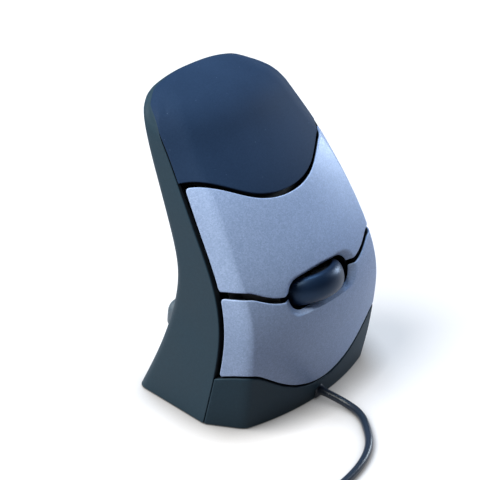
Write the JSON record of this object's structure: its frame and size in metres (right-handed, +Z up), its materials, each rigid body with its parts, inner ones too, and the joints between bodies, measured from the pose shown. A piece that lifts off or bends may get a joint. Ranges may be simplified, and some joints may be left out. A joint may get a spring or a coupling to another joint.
{
  "type": "ergonomic mouse",
  "caption": "Tall upright corded mouse with a navy cap, wide silver buttons and a scroll wheel between them on the finger side, dark shell around a thumb button.",
  "frame": {"origin": "on the ground, under the middle of the body's bounding box, without the cord", "axes": "+Z up, +Y the way the pointer moves ahead, +X the finger side with the buttons"},
  "size_m": [0.0958, 0.158, 0.1053],
  "materials": {
    "dark_shell": "satin dark slate moulding, fine spark texture",
    "soft_cap": "soft-touch navy coating",
    "silver": "satin silver paint on plastic, fine metallic grain",
    "black_frame": "matte black",
    "grey_button": "satin grey",
    "wheel_rubber": "matte rubber",
    "steel": "bright steel",
    "cord_black": "satin vinyl",
    "nickel": "nickel plate",
    "glide": "slippery pad",
    "board_green": "solder mask",
    "part_black": "moulded component",
    "plunger_red": "gloss",
    "lens_clear": "clear moulding",
    "light_red": "clear red",
    "socket_white": "nylon",
    "link_white": "flat flexible cable"
  },
  "bodies": {
    "housing": {"back_shell": "dark_shell", "front_base_shell": "dark_shell", "top_cap": "soft_cap", "button_frame": "black_frame", "base_plate": "dark_shell", "upper_hinge_rod": "steel", "lower_hinge_rod": "steel", "cord_gland": "cord_black", "inner_lead": "cord_black", "cord_lead": "cord_black", "cord_coil": "cord_black", "cord_tail": "cord_black", "plug_grip": "cord_black", "plug_shell": "nickel", "plug_tongue": "part_black", "glide_feet": "glide", "base_screws": "steel", "frame_screws": "steel", "switch_board_screws": "steel", "thumb_board_screws": "steel", "main_board_screws": "steel", "upper_switch_board": "board_green", "lower_switch_board": "board_green", "thumb_switch_board": "board_green", "main_board": "board_green", "upper_switch": "part_black", "lower_switch": "part_black", "wheel_switch": "part_black", "thumb_switch": "part_black", "sensor_lens": "lens_clear", "optical_sensor": "part_black", "light_source": "light_red", "light_clip": "part_black", "controller_chip": "part_black", "crystal": "nickel", "capacitor": "part_black", "cord_connector": "socket_white", "lower_link": "link_white", "upper_link": "link_white", "main_link_socket": "socket_white", "lower_link_socket": "socket_white", "upper_link_socket": "socket_white"},
    "upper_button": {"upper_button": "silver"},
    "lower_button": {"lower_button": "silver"},
    "wheel_carrier": {"wheel_carrier": "black_frame", "wheel_encoder": "part_black"},
    "scroll_wheel": {"wheel_tyre": "wheel_rubber", "wheel_hub": "black_frame", "wheel_axle": "steel"},
    "thumb_button": {"thumb_button": "grey_button"},
    "upper_plunger": {"upper_switch_plunger": "plunger_red"},
    "lower_plunger": {"lower_switch_plunger": "plunger_red"},
    "wheel_plunger": {"wheel_switch_plunger": "plunger_red"},
    "thumb_plunger": {"thumb_switch_plunger": "plunger_red"}
  },
  "joints": [
    {"name": "upper_button_press", "type": "hinge", "parent": "housing", "child": "upper_button", "pos_m": [0.00154, 0, 0.0745], "axis": [0, 1, 0], "range_deg": [0, 1.1], "stiffness_Nm_per_rad": 0.6, "springref_deg": -1.72},
    {"name": "lower_button_press", "type": "hinge", "parent": "housing", "child": "lower_button", "pos_m": [0.01883, 0, 0.0145], "axis": [0, -1, 0], "range_deg": [0, 1.4], "stiffness_Nm_per_rad": 0.6, "springref_deg": -1.72},
    {"name": "wheel_click", "type": "slide", "parent": "housing", "child": "wheel_carrier", "axis": [-0.9563, 0, -0.2924], "range_m": [0, 0.0005], "stiffness_N_per_m": 1200, "springref_m": -0.0005},
    {"name": "wheel_spin", "type": "hinge", "parent": "wheel_carrier", "child": "scroll_wheel", "pos_m": [0.01733, 0, 0.04228], "axis": [-0.2924, 0, 0.9563], "continuous": true},
    {"name": "thumb_button_press", "type": "slide", "parent": "housing", "child": "thumb_button", "axis": [1, 0, 0], "range_m": [0, 0.0007], "stiffness_N_per_m": 1000, "springref_m": -0.0005},
    {"name": "upper_plunger_slide", "type": "slide", "parent": "housing", "child": "upper_plunger", "axis": [-0.9563, 0, -0.2924], "range_m": [0, 0.0005]},
    {"name": "lower_plunger_slide", "type": "slide", "parent": "housing", "child": "lower_plunger", "axis": [-0.9563, 0, -0.2924], "range_m": [0, 0.0004]},
    {"name": "wheel_plunger_slide", "type": "slide", "parent": "housing", "child": "wheel_plunger", "axis": [-0.9563, 0, -0.2924], "range_m": [0, 0.0005]},
    {"name": "thumb_plunger_slide", "type": "slide", "parent": "housing", "child": "thumb_plunger", "axis": [1, 0, 0], "range_m": [0, 0.0007]}
  ],
  "couplings": [
    {"joint": "upper_plunger_slide", "follows": "upper_button_press", "m_per_rad": 0.02143},
    {"joint": "lower_plunger_slide", "follows": "lower_button_press", "m_per_rad": 0.013},
    {"joint": "wheel_plunger_slide", "follows": "wheel_click", "ratio": 1},
    {"joint": "thumb_plunger_slide", "follows": "thumb_button_press", "ratio": 1}
  ]
}
